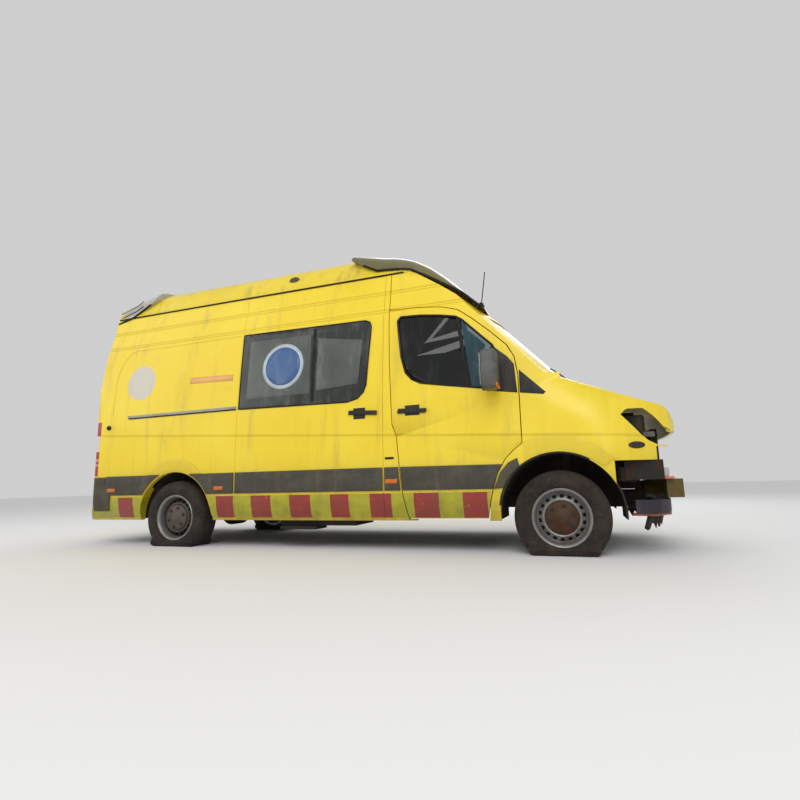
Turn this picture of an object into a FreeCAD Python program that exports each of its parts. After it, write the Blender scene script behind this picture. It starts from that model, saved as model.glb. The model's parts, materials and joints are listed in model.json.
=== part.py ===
import FreeCAD, Part
import os
import math
from FreeCAD import Vector as V

# Ambulance van: high roof body on a long wheelbase, stripped front end, flat tyres.
# +X forward, +Y left, +Z up; origin on the ground at the middle of the overall box.
os.makedirs("parts", exist_ok=True)
doc = FreeCAD.newDocument("ambulance_van")
sheet = doc.addObject("Spreadsheet::Sheet", "Dims")

DIMS = [
    ("front_axle_x", 1990.0), ("wheelbase", 3665.0), ("hub_height", 275.0),
    ("tyre_radius", 356.0), ("tyre_width", 235.0), ("rim_flange_radius", 220.5),
    ("bead_radius", 204.0), ("track_half", 855.0), ("kingpin_half", 770.0),
    ("spindle_radius", 35.0), ("running_gap", 0.3), ("rear_face", 4800.0),
    ("wall", 55.0), ("skin", 25.0), ("panel_gap", 8.0), ("floor_top", 580.0),
    ("floor_thick", 60.0), ("roof_split", 2490.0), ("sill_bottom", 251.0),
    ("arch_radius_front", 452.0), ("arch_rise_front", 35.0), ("arch_radius_rear", 449.0),
    ("liner_thick", 12.0), ("liner_inner_front", 495.0), ("liner_inner_rear", 610.0),
    ("bonnet_half", 707.0), ("bonnet_rear", 205.0), ("bonnet_lip_z", 905.0),
    ("rail_half", 380.0), ("rail_width", 70.0), ("rail_height", 120.0), ("rail_bottom", 330.0),
    ("rail_front", 640.0), ("rail_rear", 4690.0), ("cross_width", 90.0),
    ("engine_len", 560.0), ("engine_width", 600.0), ("engine_tall", 640.0), ("engine_bottom", 470.0),
    ("engine_back", 60.0),
    ("bulkhead_back", 1590.0), ("bulkhead_thick", 40.0),
    ("beam_front", 862.0), ("beam_depth", 110.0), ("beam_bottom", 412.0), ("beam_tall", 135.0),
    ("beam_half", 780.0),
    ("tank_len", 760.0), ("tank_width", 420.0), ("tank_tall", 250.0),
    ("mirror_wide", 205.0), ("mirror_tall", 320.0), ("mirror_deep", 130.0),
    ("wheel_rim_r", 190.0), ("wheel_rim_tube", 15.0),
    ("axle_tube_r", 48.0), ("axle_tube_half", 700.0), ("diff_radius", 140.0),
    ("door_hinge_x", 255.0), ("door_hinge_y", 997.0), ("rear_hinge_y", 866.0),
]
row = 1
for alias, value in DIMS:
    sheet.set("A%d" % row, alias)
    sheet.set("B%d" % row, "%g" % value)
    sheet.setAlias("B%d" % row, alias)
    row += 1
doc.recompute()


def d(alias):
    return float(sheet.get(alias))


AX = d("front_axle_x")
NODES = []


def node(obj, label):
    obj.Label = label
    NODES.append(obj)
    return obj


def curve_edges(pts3):
    """Straight runs and smooth runs: an item that is a list is one interpolated curve."""
    edges = []
    last = None
    first = None
    for item in pts3:
        if isinstance(item, list):
            run = item
            if last is not None and (last - run[0]).Length > 1e-6:
                edges.append(Part.LineSegment(last, run[0]).toShape())
            c = Part.BSplineCurve()
            c.interpolate(run)
            edges.append(c.toShape())
            if first is None:
                first = run[0]
            last = run[-1]
        else:
            if last is not None and (last - item).Length > 1e-6:
                edges.append(Part.LineSegment(last, item).toShape())
            if first is None:
                first = item
            last = item
    if (last - first).Length > 1e-6:
        edges.append(Part.LineSegment(last, first).toShape())
    return edges


def to3(p, plane, c):
    if plane == "Y":
        return V(p[0] + AX, c, p[1])
    if plane == "X":
        return V(c, p[0], p[1])
    return V(p[0] + AX, p[1], c)


def outline(points, plane, c):
    pts3 = []
    for p in points:
        if isinstance(p, list):
            pts3.append([to3(q, plane, c) for q in p])
        else:
            pts3.append(to3(p, plane, c))
    return Part.Wire(curve_edges(pts3))


def prism(points, plane, a, b, off=0.0):
    """Outline extruded across the body: plane Y takes (x, z), X takes (y, z), Z takes (x, y)."""
    w = outline(points, plane, a)
    if off:
        w = w.makeOffset2D(off, 2, False, False)
        if w.ShapeType != "Wire":
            w = w.Wires[0]
    f = Part.Face(w)
    vec = {"Y": V(0, b - a, 0), "X": V(b - a, 0, 0), "Z": V(0, 0, b - a)}[plane]
    return f.extrude(vec)


def block(x0, x1, y0, y1, z0, z1):
    return Part.makeBox(x1 - x0, y1 - y0, z1 - z0, V(x0 + AX, y0, z0))


def both(shape):
    return shape.fuse(shape.mirror(V(0, 0, 0), V(0, 1, 0)))


def solids_only(shape, least=2000.0):
    keep = [s for s in shape.Solids if s.Volume > least]
    if len(keep) == 1:
        return keep[0]
    return Part.makeCompound(keep)


def feature(label, shape, least=2000.0):
    o = doc.addObject("Part::Feature", label)
    o.Shape = solids_only(shape, least)
    o.Placement = FreeCAD.Placement(V(0, 0, 0), FreeCAD.Rotation())
    return node(o, label)


# ---------------------------------------------------------------- outer body form
# side walls: half width against height, with the tumblehome of the upper body
WALL = [(932, 251), (962, 330), (980, 420), (985, 520), (985, 700), (984, 950), (976, 1270),
        (947, 1650), (906, 2060), (886, 2130), (848, 2300), (815, 2480)]
ROOF = [(805, 2520), (762, 2600), (680, 2655), (520, 2690), (260, 2703), (0, 2706)]
# profile along the middle of the van
REAR = [(-4800, 251), (-4800, 1150), (-4780, 1750), (-4742, 2300), (-4738, 2520), (-4705, 2640), (-4600, 2706)]
BROW = [(-1760, 2706), (-1450, 2640), (-1180, 2500), (-900, 2300), (-660, 2110), (-450, 2040)]
NOSE = [(200, 1385), (350, 1325), (500, 1262), (650, 1185), (760, 1115), (830, 1050), (878, 970), (895, 900)]
# plan: rounded rear corners, tapering nose
PLAN = [(80, 990), (220, 984), (380, 962), (520, 925), (640, 880), (740, 818), (820, 730), (868, 600), (888, 320), (895, 0)]
CROWN = [(990, -120), (900, -96), (800, -72), (600, -42), (400, -19), (200, -5), (0, 0)]


def outer_form(inset):
    t = inset
    sec = [(y - t, z) for y, z in WALL] + [(max(y - t, 0) if y else 0, z - t) for y, z in ROOF]
    half = [p for p in sec]
    full = [(-y, z) for y, z in half] + [(y, z) for y, z in reversed(half[:-1])]
    body = prism(full, "X", -4900 + AX, 1000 + AX)
    side = ([(x + t, z) for x, z in REAR] + [(x - t * 0.4, z - t) for x, z in BROW[:1]]
            + [(x - t * 0.45, z - t * 0.9) for x, z in BROW[1:]]
            + [(160 - t, 1400)] + [(x - t * 0.45, z - t * 0.9) for x, z in NOSE[:-2]]
            + [(x - t, z - 0.3 * t) for x, z in NOSE[-2:]] + [(895 - t, 251)])
    body = body.common(prism(side, "Y", -1100, 1100))
    r = 95.0
    arc = []
    for i in range(7):
        a = math.radians(90 + 15 * i)
        arc.append((-4800 + t + r - t + (r - t if r > t else 8) * math.cos(a) - (0 if r > t else 0),
                    990 - t - (r - t if r > t else 8) + (r - t if r > t else 8) * math.sin(a)))
    plan_half = [(x - t * 0.3 if x < 800 else x - t, max(y - t * 0.9, 0) if y else 0) for x, y in PLAN]
    left = [(x, y) for x, y in reversed(arc)] + plan_half
    right = [(x, -y) for x, y in reversed(left[:-1])]
    body = body.common(prism(left + right, "Z", 200, 2900))
    # windscreen: bowed across the van, raked 47 degrees
    ws = [(0 - t * 1.4 + 160 * (1 - (y / 850.0) ** 2), y) for y in range(-1050, 1051, 150)]
    w = Part.Wire(curve_edges([[V(x + AX, y, 1390) for x, y in ws], V(-5200 + AX, 1050, 1390), V(-5200 + AX, -1050, 1390)]))
    k = 1500.0 / 640.0
    upper = Part.Face(w).extrude(V(-600 * k, 0, 1500))
    upper = upper.fuse(block(-5200, 1200, -1060, 1060, 200, 1390))
    body = body.common(upper)
    # bonnet and wing tops fall away from the middle
    cr = [(-y, z) for y, z in CROWN] + [(y, z) for y, z in reversed(CROWN[:-1])]
    x0 = 60.0
    base = [V(x0 + AX, y, z + 1452 - t * 0.9) for y, z in cr]
    cw = Part.Wire(curve_edges([base, V(x0 + AX, 990, 100), V(x0 + AX, -990, 100)]))
    crown = Part.Face(cw).extrude(V(900, 0, -900 * 0.40))
    front = body.common(block(x0, 1000, -1000, 1000, 200, 2000)).common(crown)
    back = body.common(block(-5000, x0, -1100, 1100, 200, 3000))
    return back.fuse(front).removeSplitter()


OUTER = outer_form(0.0)
INNER = outer_form(d("wall"))
THIN = outer_form(d("skin"))
GLASS_OUT = outer_form(8.0)
GLASS_IN = outer_form(14.0)

FLOOR = d("floor_top")
cavity = INNER.common(block(-4760, -20, -1000, 1000, FLOOR, 2800))
bay = THIN.common(block(20, 1000, -1000, 1000, 251, 1700))
under = block(-4900, 1000, -885, 885, 200, FLOOR - d("floor_thick"))
slab = block(-4755, 20, -885, 885, FLOOR - d("floor_thick") - 1, FLOOR + 1)
firewall_space = block(-20.5, 20.5, -925, 925, 500, 1330)


def arch(x, z, r, y0, y1):
    c = Part.makeCylinder(r, y1 - y0, V(x + AX, y0, z), V(0, 1, 0))
    return c.fuse(block(x - r, x + r, y0, y1, z - 300, z))


zf = d("hub_height") + d("arch_rise_front")
zr = d("hub_height")
archF = arch(0, zf, d("arch_radius_front"), -1100, 1100)
archR = arch(-d("wheelbase"), zr, d("arch_radius_rear"), -1100, 1100)

shell = OUTER.cut([cavity, bay, under, slab, firewall_space, archF, archR])

# ---------------------------------------------------------------- cut lines
DOOR_F = [(-1368, 2112), (-1118, 2106), (-881, 2075), (-735, 2027), (-614, 1930), (-463, 1791), (-334, 1658),
          (-279, 1554), (-257, 1400), (-255, 1237), (-255, 848), (-325, 796), (-393, 727), (-458, 619),
          (-495, 509), (-525, 391), (-549, 266), (-1212, 266), (-1257, 501), (-1277, 700), (-1296, 950),
          (-1336, 1060), (-1343, 1254), (-1356, 1531), (-1366, 1867)]
WIN_F = [(-1285, 1993), (-1255, 2030), (-1068, 2020), (-882, 1993), (-755, 1965), (-700, 1928), (-565, 1787),
         (-455, 1676), (-430, 1630), (-547, 1312), (-648, 1330), (-855, 1364), (-1070, 1401), (-1150, 1440),
         (-1208, 1505), (-1248, 1653), (-1272, 1855)]
DOOR_S = [(-2944, 2482), (-1420, 2482), (-1420, 262), (-2944, 262)]
WIN_S = [(-2880, 2010), (-1650, 1990), (-1612, 1960), (-1640, 1440), (-1700, 1370), (-2880, 1365)]
ROOFZONE = [(-4900, 2490), (-1250, 2490), (-985, 2380), (-710, 2200), (-560, 2058), (-300, 2036), (-300, 2950), (-4900, 2950)]
WINGZONE = [(-251, 1365), (-251, 848), (-321, 796), (-389, 727), (-454, 619), (-491, 509), (-521, 391), (-545, 240),
            (1000, 240), (1000, 1500), (24, 1500), (24, 1365)]
LAMP = [(470, 1030), (500, 1062), (520, 1072), (628, 1075), (699, 1018), (769, 940), (900, 880), (900, 780), (713, 800), (645, 835), (600, 880), (545, 945)]

g = d("panel_gap") / 2
door_r = prism(DOOR_F, "Y", -1100, -700, -g).cut(block(-1400, 0, -925, -600, 200, 640))
door_hole = prism(DOOR_F, "Y", -1100, 1100, g)
slide = prism(DOOR_S, "Y", -1100, -700, -3.0)
slide_hole = prism(DOOR_S, "Y", -1100, -700, 0.0)
win_f = prism(WIN_F, "Y", -1100, 1100)
win_s = prism(WIN_S, "Y", -1100, 1100)
roofzone = prism(ROOFZONE, "Y", -1100, 1100)

# ---------------------------------------------------------------- cab doors
dr = shell.common(door_r).cut(win_f)
feature("front_door_right", dr)
feature("front_door_left", dr.mirror(V(0, 0, 0), V(0, 1, 0)))
gl = GLASS_OUT.cut(GLASS_IN).common(prism(WIN_F, "Y", -1100, -600))
feature("front_door_right_glass", gl)
feature("front_door_left_glass", gl.mirror(V(0, 0, 0), V(0, 1, 0)))

# ---------------------------------------------------------------- sides, roof, cab frame
rear_open = [(-858, 530), (-858, 1200), (-838, 1700), (-800, 2100), (-768, 2420), (768, 2420), (800, 2100), (838, 1700), (858, 1200), (858, 530)]
rear_hole = prism(rear_open, "X", -4900 + AX, -4600 + AX)
sp_zone = prism([(-4900, 240), (-1150, 240), (-1150, 2000), (-1372, 2118), (-1372, 2490), (-4900, 2490)], "Y", -1100, -600)
lamp_notch = both(block(-4830, -4700, -1000, -872, 702, 1282))
panel = shell.common(sp_zone).cut([door_hole, lamp_notch, rear_hole, win_s])
right_panel = panel.cut(slide_hole)
left_panel = panel.mirror(V(0, 0, 0), V(0, 1, 0))
feature("right_side_panel", right_panel)
feature("left_side_panel", left_panel)
sd = shell.common(slide).cut(win_s)
sd = max(sd.Solids, key=lambda q: q.Volume)
feature("sliding_door", sd)
lamps = OUTER.common(both(block(-4830, -4703, -1000, -874, 705, 1279)))
feature("tail_lamps", lamps)

ws_open = prism([(-760, 1440), (-700, 1990), (700, 1990), (760, 1440)], "X", -900 + AX, 300 + AX)
roof = shell.common(roofzone).cut([rear_hole, ws_open])
roof = max(roof.Solids, key=lambda q: q.Volume)
feature("roof_panel", roof)
wingzone = prism(WINGZONE, "Y", -1100, 1100)
bonnet_zone = block(d("bonnet_rear"), 1000, -d("bonnet_half"), d("bonnet_half"), d("bonnet_lip_z"), 1600)
cab = shell.common(block(-1364, d("bonnet_rear") - 8, -1100, 1100, 1250, 2500))
cab = cab.cut([prism(ROOFZONE, "Y", -1100, 1100, 1.0), door_hole, ws_open, prism([(-4900, 240), (-1150, 240), (-1150, 2000), (-1366, 2112), (-1366, 2490), (-4900, 2490)], "Y", -1100, 1100)])
outboard = prism(WINGZONE, "Y", -1100, -715).fuse(prism(WINGZONE, "Y", 715, 1100))
cab = cab.cut(outboard)
# firewall and scuttle tie the pillars together
liner_cut = [arch(0, zf, d("arch_radius_front") + 18, d("liner_inner_front") - 6, 1100), arch(0, zf, d("arch_radius_front") + 18, -1100, -d("liner_inner_front") + 6)]
fire = block(-20, 20, -900, 900, FLOOR, 1330).cut(liner_cut)
cab = cab.fuse(fire)
feature("cab_frame", cab)
wsg = GLASS_OUT.cut(GLASS_IN).common(ws_open)
wsg = max(wsg.Solids, key=lambda q: q.Volume)
feature("windscreen", wsg)
sg = GLASS_OUT.cut(GLASS_IN).common(win_s)
feature("load_space_glass", sg)

# ---------------------------------------------------------------- wings and bonnet
wz = prism(WINGZONE, "Y", -1100, -715)
wing = shell.common(wz).cut([block(400, 1000, -1100, 0, 200, 690), block(700, 1000, -1100, 0, 200, 790),
                             prism(LAMP, "Y", -1100, 0), block(-600, 24, -925, 0, 200, 1400),
                             arch(0, zf, d("arch_radius_front"), -1100, 0)])
wing = solids_only(wing, 100000)
feature("right_front_wing", wing)
feature("left_front_wing", wing.mirror(V(0, 0, 0), V(0, 1, 0)))
bon = OUTER.cut(THIN).common(bonnet_zone)
feature("bonnet", bon)

# ---------------------------------------------------------------- rear doors
rd = shell.common(block(-4900, -4640, -1100, -8, 300, 2600))
rd = rd.common(prism([(-850, 540), (-850, 1200), (-830, 1700), (-792, 2100), (-761, 2412), (-8, 2412), (-8, 540)], "X", -4900 + AX, -4600 + AX))
RWIN = [(-720, 1440), (-700, 1960), (-110, 1960), (-110, 1440)]
rwin = prism(RWIN, "X", -4900 + AX, -4600 + AX)
feature("rear_door_right", rd.cut(rwin))
feature("rear_door_left", rd.cut(rwin).mirror(V(0, 0, 0), V(0, 1, 0)))
rg = GLASS_OUT.cut(GLASS_IN).common(rwin)
feature("rear_door_right_glass", rg)
feature("rear_door_left_glass", rg.mirror(V(0, 0, 0), V(0, 1, 0)))

# ---------------------------------------------------------------- roof fairing and beacons
CAP = [(822, 2492), (813, 2540), (790, 2605), (742, 2685), (662, 2748), (550, 2786), (300, 2820), (0, 2830)]
cap_full = [(-y, z) for y, z in CAP] + [(y, z) for y, z in reversed(CAP[:-1])]
CAPSIDE = [(-4740, 2380), (-4745, 2640), (-4705, 2760), (-4560, 2812), (-4200, 2826), (-1800, 2830), (-1560, 2815), (-1344, 2768),
           (-1188, 2706), (-1036, 2612), (-891, 2482), (-750, 2328), (-624, 2166), (-520, 2060), (-450, 2044), (-450, 1900), (-4740, 1900)]
cap = prism([(-822, 1900)] + cap_full + [(822, 1900)], "X", -4900 + AX, 0 + AX)
cap = cap.common(prism(CAPSIDE, "Y", -1000, 1000))
ws_cut = Part.Face(Part.Wire(curve_edges([[V(35 + 160 * (1 - (y / 850.0) ** 2) + AX, y, 1390) for y in range(-1050, 1051, 150)],
                                          V(-5200 + AX, 1050, 1390), V(-5200 + AX, -1050, 1390)]))).extrude(V(-600 * 1500 / 640.0, 0, 1500))
cap = cap.common(ws_cut).cut(OUTER)
GASKET_F = [(-1790, 2950), (-1780, 2700), (-1650, 2621), (-1514, 2550), (-1400, 2540), (-1257, 2524), (-1178, 2504), (-985, 2392), (-709, 2212), (-578, 2075), (-400, 1990), (0, 1990), (0, 2950)]
GASKET_R = [(-4900, 2330), (-4728, 2405), (-4512, 2489), (-4272, 2614), (-4187, 2673), (-4160, 2950), (-4900, 2950)]
gf = prism(GASKET_F, "Y", -1100, 1100)
gr = prism(GASKET_R, "Y", -1100, 1100)
above = block(-5000, 100, -1000, 1000, 2040, 3000)
feature("front_beacon_bar", cap.common(gf).common(above), 50000)
# its lower lip stays above the tops of the rear doors, which swing under it
feature("rear_beacon_bar", cap.common(gr).cut(block(-5000, -4640, -1000, 1000, 2300, 2430)), 50000)
feature("roof_fairing", cap.cut([gf, gr, block(-5000, 100, -1000, 1000, 1800, 2491), ]).common(block(-5000, -1170, -1000, 1000, 2400, 3000)), 50000)

# ---------------------------------------------------------------- wheel houses
def liner(x, z, r, ya, yb):
    t = d("liner_thick")
    ring = arch(x, z, r + t, ya, yb).cut(arch(x, z, r, ya - 1, yb + 1))
    plate = arch(x, z, r, ya, ya + t).common(block(x - r, x + r, ya, ya + t, z + 130, z + r + 5))
    return ring.fuse(plate).common(block(x - r - 50, x + r + 50, -1000, 1000, 262, 1000))


lf = liner(0, zf, d("arch_radius_front"), d("liner_inner_front"), 920.0)
lr = liner(-d("wheelbase"), zr, d("arch_radius_rear"), d("liner_inner_rear"), 880.0)
liners = [lf, lr, lf.mirror(V(0, 0, 0), V(0, 1, 0)), lr.mirror(V(0, 0, 0), V(0, 1, 0))]
feature("wheel_arch_liners", Part.makeCompound(liners))

# ---------------------------------------------------------------- floor
fl = block(-4740, -25, -880, 880, FLOOR - d("floor_thick"), FLOOR)
rock = block(-1200, -575, 800, 915, 300, FLOOR)
fl = fl.fuse([rock, rock.mirror(V(0, 0, 0), V(0, 1, 0))])
cuts = []
for s in (1, -1):
    for x, z, r, yi in ((0, zf, d("arch_radius_front"), d("liner_inner_front")), (-d("wheelbase"), zr, d("arch_radius_rear"), d("liner_inner_rear"))):
        c = arch(x, z, r + d("liner_thick"), yi, 1000)
        cuts.append(c if s > 0 else c.mirror(V(0, 0, 0), V(0, 1, 0)))
fl = fl.cut(cuts)
feature("floor_pan", fl)


# ---------------------------------------------------------------- parametric primitives
def pbox(name, length, width, height, x, y, z):
    o = doc.addObject("Part::Box", name)
    for prop, e in (("Length", length), ("Width", width), ("Height", height)):
        o.setExpression(prop, str(e))
    for prop, e in (("Placement.Base.x", x), ("Placement.Base.y", y), ("Placement.Base.z", z)):
        o.setExpression(prop, str(e))
    return o


def pcyl(name, radius, height, x, y, z, axis):
    o = doc.addObject("Part::Cylinder", name)
    o.setExpression("Radius", str(radius))
    o.setExpression("Height", str(height))
    rot = {"Z": FreeCAD.Rotation(), "Y": FreeCAD.Rotation(V(1, 0, 0), -90), "X": FreeCAD.Rotation(V(0, 1, 0), 90)}[axis]
    o.Placement = FreeCAD.Placement(V(0, 0, 0), rot)
    for prop, e in (("Placement.Base.x", x), ("Placement.Base.y", y), ("Placement.Base.z", z)):
        o.setExpression(prop, str(e))
    return o


def fuse(label, parts, keep=True):
    o = doc.addObject("Part::MultiFuse", label + "_fuse" if not keep else label)
    o.Shapes = parts
    if keep:
        node(o, label)
    return o


FX = "Dims.front_axle_x"
RXE = "Dims.front_axle_x - Dims.wheelbase"

# chassis: two rails, cross members and the front cradle with its lower arms
rails = []
for s, nm in ((1, "l"), (-1, "r")):
    y = "Dims.rail_half" if s > 0 else "-Dims.rail_half - Dims.rail_width"
    rails.append(pbox("rail_" + nm, "Dims.rail_front + Dims.rail_rear", "Dims.rail_width", "Dims.rail_height",
                      FX + " - Dims.rail_rear", y, "Dims.rail_bottom"))
for i, x in enumerate((-4600, -4150, -2950, -2200, -1350, -620, 420)):
    rails.append(pbox("cross_%d" % i, "Dims.cross_width", "2 * Dims.rail_half + 2 * Dims.rail_width", "Dims.rail_height - 30",
                      FX + " + %d" % x, "-Dims.rail_half - Dims.rail_width", "Dims.rail_bottom + 10"))
rails.append(pbox("front_cradle", 240, 1310, 60, FX + " - 120 + 75", -655, "Dims.hub_height - 90"))
cr = rails[-1]
cr.setExpression("Length", "90")
cr.setExpression("Placement.Base.x", FX + " - 45")
for s, nm in ((1, "l"), (-1, "r")):
    rails.append(pbox("cradle_post_" + nm, 90, 70, "Dims.rail_bottom - Dims.hub_height + 60", FX + " - 45",
                      "Dims.rail_half" if s > 0 else "-Dims.rail_half - 70", "Dims.hub_height - 50"))
fuse("chassis_frame", rails)

# rear axle: tube, centre casing, stub ends and the pads on its springs
ax = [pcyl("axle_tube", "Dims.axle_tube_r", "2 * Dims.axle_tube_half", RXE, "-Dims.axle_tube_half", "Dims.hub_height", "Y"),
      pcyl("axle_case", "Dims.diff_radius", 170, RXE, -85, "Dims.hub_height", "Y"),
      pcyl("axle_stub", "Dims.spindle_radius", "2 * (Dims.track_half + 60)", RXE, "-Dims.track_half - 60", "Dims.hub_height", "Y")]
fuse("rear_axle", ax)
# leaf springs, with the stack above the tube and the eyes on the rails
lv = []
for s, nm in ((1, "l"), (-1, "r")):
    y = 555 if s > 0 else -625
    lv.append(pbox("leaf_" + nm, 1300, 45, 22, RXE + " - 650", y + 0 if s > 0 else y + 25, "Dims.hub_height + Dims.axle_tube_r + 0.0"))
    lv.append(pbox("leaf_hanger_f_" + nm, 60, 120, 60, RXE + " + 590", 455 if s > 0 else -575, "Dims.hub_height + Dims.axle_tube_r + 10"))
    lv.append(pbox("leaf_hanger_r_" + nm, 60, 120, 60, RXE + " - 650", 455 if s > 0 else -575, "Dims.hub_height + Dims.axle_tube_r + 10"))
comp = doc.addObject("Part::MultiFuse", "leaf_springs")
comp.Shapes = lv
node(comp, "leaf_springs")

pb = pbox("engine_block", "Dims.engine_len", "Dims.engine_width", "Dims.engine_tall", FX + " + Dims.engine_back",
          "-Dims.engine_width / 2", "Dims.engine_bottom")
node(pb, "engine_block")

# crash beam with its two towing and bumper bracket bores
beam = pbox("beam_bar", "Dims.beam_depth", "2 * Dims.beam_half", "Dims.beam_tall", FX + " + Dims.beam_front - Dims.beam_depth",
            "-Dims.beam_half", "Dims.beam_bottom")
horn_l = pbox("horn_l", 130, "Dims.rail_width", "Dims.beam_tall - 30", FX + " + Dims.rail_front", "Dims.rail_half", "Dims.beam_bottom + 15")
horn_r = pbox("horn_r", 130, "Dims.rail_width", "Dims.beam_tall - 30", FX + " + Dims.rail_front", "-Dims.rail_half - Dims.rail_width", "Dims.beam_bottom + 15")
bf = fuse("beam", [beam, horn_l, horn_r], keep=False)
tow = pcyl("tow_bore", 10, 62, FX + " + Dims.beam_front - 60", -620, "Dims.beam_bottom + Dims.beam_tall / 2", "X")
bb1 = pcyl("bracket_bore_l", 6, "Dims.beam_depth + 4", FX + " + Dims.beam_front - Dims.beam_depth - 2", 560, "Dims.beam_bottom + Dims.beam_tall / 2", "X")
bb2 = pcyl("bracket_bore_r", 6, "Dims.beam_depth + 4", FX + " + Dims.beam_front - Dims.beam_depth - 2", -560, "Dims.beam_bottom + Dims.beam_tall / 2", "X")
bores = fuse("beam_bores", [tow, bb1, bb2], keep=False)
bc = doc.addObject("Part::Cut", "bumper_beam")
bc.Base = bf
bc.Tool = bores
node(bc, "bumper_beam")

# partition behind the seats, with a walk-through window
pt = INNER.common(block(-1590, -1550, -1000, 1000, FLOOR, 2440)).cut(block(-1600, -1540, -300, 300, 1400, 1900))
feature("bulkhead", pt)

# radiator support and the low front panel left after the bumper has gone
rp = block(690, 740, -640, 640, 560, 930).cut(block(680, 750, -480, 480, 620, 880))
rp = rp.fuse([block(700, 735, -478, 478, 622, 878), block(640, 690, -700, 700, 560, 600)])
rp = rp.fuse(both(block(470, 735, -850, -650, 545, 690).cut(block(490, 800, -830, -670, 560, 675))))
feature("radiator_panel", rp)
lowp = prism([(640, 0), (640, -860), (560, -900), (520, -900), (600, -820), (600, 820), (520, 900), (560, 900), (640, 860)], "Z", 300, 400)
lp = prism([(800, -560), (760, -760), (690, -850), (560, -905), (520, -905), (520, -885), (670, -820), (735, -740), (770, -560), (770, 560), (735, 740), (670, 820), (520, 885), (520, 905), (560, 905), (690, 850), (760, 760), (800, 560)], "Z", 302, 400)
lp = lp.fuse([block(640, 790, -440, -400, 330, 370), block(640, 790, 400, 440, 330, 370)])
feature("front_lower_panel", lp)

# rear bumper: low centre step and two corner pieces that rise beside the doors
rb = prism([(-4880, 0), (-4880, -700), (-4862, -860), (-4800, -935), (-4700, -955), (-4520, -958), (-4500, -930), (-4500, -890),
            (-4760, -890), (-4760, 890), (-4500, 890), (-4500, 930), (-4520, 958), (-4700, 955), (-4800, 935), (-4862, 860), (-4880, 700)], "Z", 330, 522)
rb = rb.cut(OUTER.common(block(-4759, -4400, -1100, 1100, 200, 600)).fuse(block(-4760, -4400, -890, 890, 200, 600)))
rb = rb.cut(shell)
feature("rear_bumper", rb)

# tank and the housing of the powered side step, hung under the load floor
tk = block(-2500, -1740, -860, -460, 200, 480)
tk2 = block(-2470, -1800, 470, 860, 230, 500)
st = block(-2480, -2110, -905, -700, 168, 198)
feature("underfloor_tanks", Part.makeCompound([tk.fuse(st), tk2]))

# cab: two seats on boxes, dash panel
def seat(y0, y1):
    base = block(-1330, -820, y0 + 40, y1 - 40, FLOOR, 850)
    cush = prism([(-1370, 850), (-1370, 960), (-860, 1000), (-800, 985), (-790, 900), (-820, 850)], "Y", y0, y1)
    back = prism([(-1470, 1500), (-1390, 960), (-1270, 960), (-1350, 1420), (-1380, 1500)], "Y", y0 + 15, y1 - 15)
    head = prism([(-1500, 1740), (-1480, 1515), (-1390, 1515), (-1400, 1740)], "Y", (y0 + y1) / 2 - 130, (y0 + y1) / 2 + 130)
    return base.fuse([cush, back]), head


s1, h1 = seat(200, 680)
s2, h2 = seat(-680, -200)
stalk = [block(-1450, -1410, 430, 450, 1440, 1520), block(-1450, -1410, -450, -430, 1440, 1520)]
feature("cab_seats", Part.makeCompound([s1.fuse([stalk[0], h1]), s2.fuse([stalk[1], h2])]))
dash = prism([(-480, 1180), (-440, 960), (-300, 900), (-26, 900), (-26, 1330), (-200, 1330), (-330, 1310)], "Y", -880, 880)
feature("dashboard", dash.common(block(-600, -24, -900, 900, 800, 1400)))

# steering wheel, column axis tilted 30 degrees from level
tor = doc.addObject("Part::Torus", "steer_rim")
tor.setExpression("Radius1", "Dims.wheel_rim_r")
tor.setExpression("Radius2", "Dims.wheel_rim_tube")
hubc = pcyl("steer_hub", 60, 40, 0, 0, -34, "Z")
sp1 = pbox("steer_spoke", "2 * Dims.wheel_rim_r", 40, 16, "-Dims.wheel_rim_r", -20, -8)
sp2 = pbox("steer_spoke_low", 40, "Dims.wheel_rim_r", 16, -20, "-Dims.wheel_rim_r", -8)
sw = doc.addObject("Part::MultiFuse", "steering_wheel")
sw.Shapes = [tor, hubc, sp1, sp2]
TILT = 62.0
# local +Z points back and up along the column, local +Y up the face of the wheel
zc = V(-math.sin(math.radians(TILT)), 0, math.cos(math.radians(TILT)))
yc = V(math.cos(math.radians(TILT)), 0, math.sin(math.radians(TILT)))
xc = yc.cross(zc)
sw.Placement = FreeCAD.Placement(V(AX - 600, 440, 1235), FreeCAD.Rotation(xc, yc, zc, "ZXY"))
node(sw, "steering_wheel")


# ---------------------------------------------------------------- wheels
def revolve_body(name, pts):
    body = doc.addObject("PartDesign::Body", name)
    sk = body.newObject("Sketcher::SketchObject", name + "_section")
    plane = [f for f in body.Origin.OriginFeatures if f.Role == "XY_Plane"][0]
    sk.AttachmentSupport = [(plane, "")]
    sk.MapMode = "FlatFace"
    n = len(pts)
    for i in range(n):
        a, b = pts[i], pts[(i + 1) % n]
        sk.addGeometry(Part.LineSegment(V(a[0], a[1], 0), V(b[0], b[1], 0)), False)
    import Sketcher
    for i in range(n):
        sk.addConstraint(Sketcher.Constraint("Coincident", i, 2, (i + 1) % n, 1))
    rev = body.newObject("PartDesign::Revolution", name + "_turned")
    rev.Profile = sk
    axis = [f for f in body.Origin.OriginFeatures if f.Role == "Y_Axis"][0]
    rev.ReferenceAxis = (axis, [""])
    rev.Angle = 360
    body.Tip = rev
    return body


R = d("tyre_radius")
RF = d("rim_flange_radius")
BR = d("bead_radius")
H = d("hub_height")
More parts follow.
